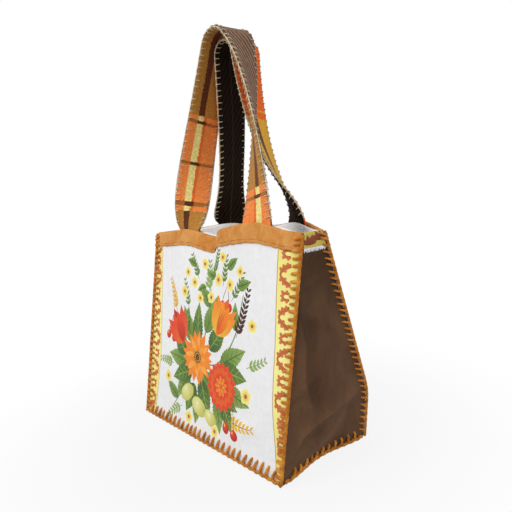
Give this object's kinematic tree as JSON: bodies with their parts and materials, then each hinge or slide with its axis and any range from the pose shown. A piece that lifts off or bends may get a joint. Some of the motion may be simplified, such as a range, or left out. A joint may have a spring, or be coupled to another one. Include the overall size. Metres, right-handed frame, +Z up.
{
  "type": "shopping bag",
  "caption": "Hand-sewn cloth shopping bag with suede ends, a folded band round the mouth, blanket-stitched seams and wide carrying straps.",
  "frame": {"origin": "middle of the base, on the surface that the bag stands on", "axes": "+X to the bag's right seen from the front, +Y from the front to the back, +Z up"},
  "size_m": [0.3362, 0.1702, 0.567],
  "materials": {
    "printed_cotton": "plain-woven cotton with a printed border",
    "brown_suede": "napped suede",
    "caramel_suede": "napped suede",
    "border_cotton": "printed cotton with a frayed edge",
    "lining_cotton": "plain-woven cotton",
    "plaid_wool": "felted plaid wool",
    "handle_suede": "napped suede",
    "cream_thread": "twisted thread",
    "mustard_yarn": "thick wool yarn"
  },
  "bodies": {
    "root": {"front_panel": "printed_cotton", "back_panel": "printed_cotton", "left_end": "brown_suede", "right_end": "brown_suede", "bottom_panel": "brown_suede", "front_band": "caramel_suede", "back_band": "caramel_suede", "left_end_band": "border_cotton", "right_end_band": "border_cotton", "front_lining": "lining_cotton", "back_lining": "lining_cotton", "left_lining": "lining_cotton", "right_lining": "lining_cotton", "bottom_lining": "lining_cotton", "front_handle_wool": "plaid_wool", "front_handle_suede": "handle_suede", "back_handle_wool": "plaid_wool", "back_handle_suede": "handle_suede", "front_handle_outer_thread": "cream_thread", "front_handle_inner_thread": "cream_thread", "back_handle_outer_thread": "cream_thread", "back_handle_inner_thread": "cream_thread", "front_left_yarn": "mustard_yarn", "front_right_yarn": "mustard_yarn", "back_left_yarn": "mustard_yarn", "back_right_yarn": "mustard_yarn", "front_base_yarn": "mustard_yarn", "back_base_yarn": "mustard_yarn", "left_base_yarn": "mustard_yarn", "right_base_yarn": "mustard_yarn"}
  },
  "joints": []
}
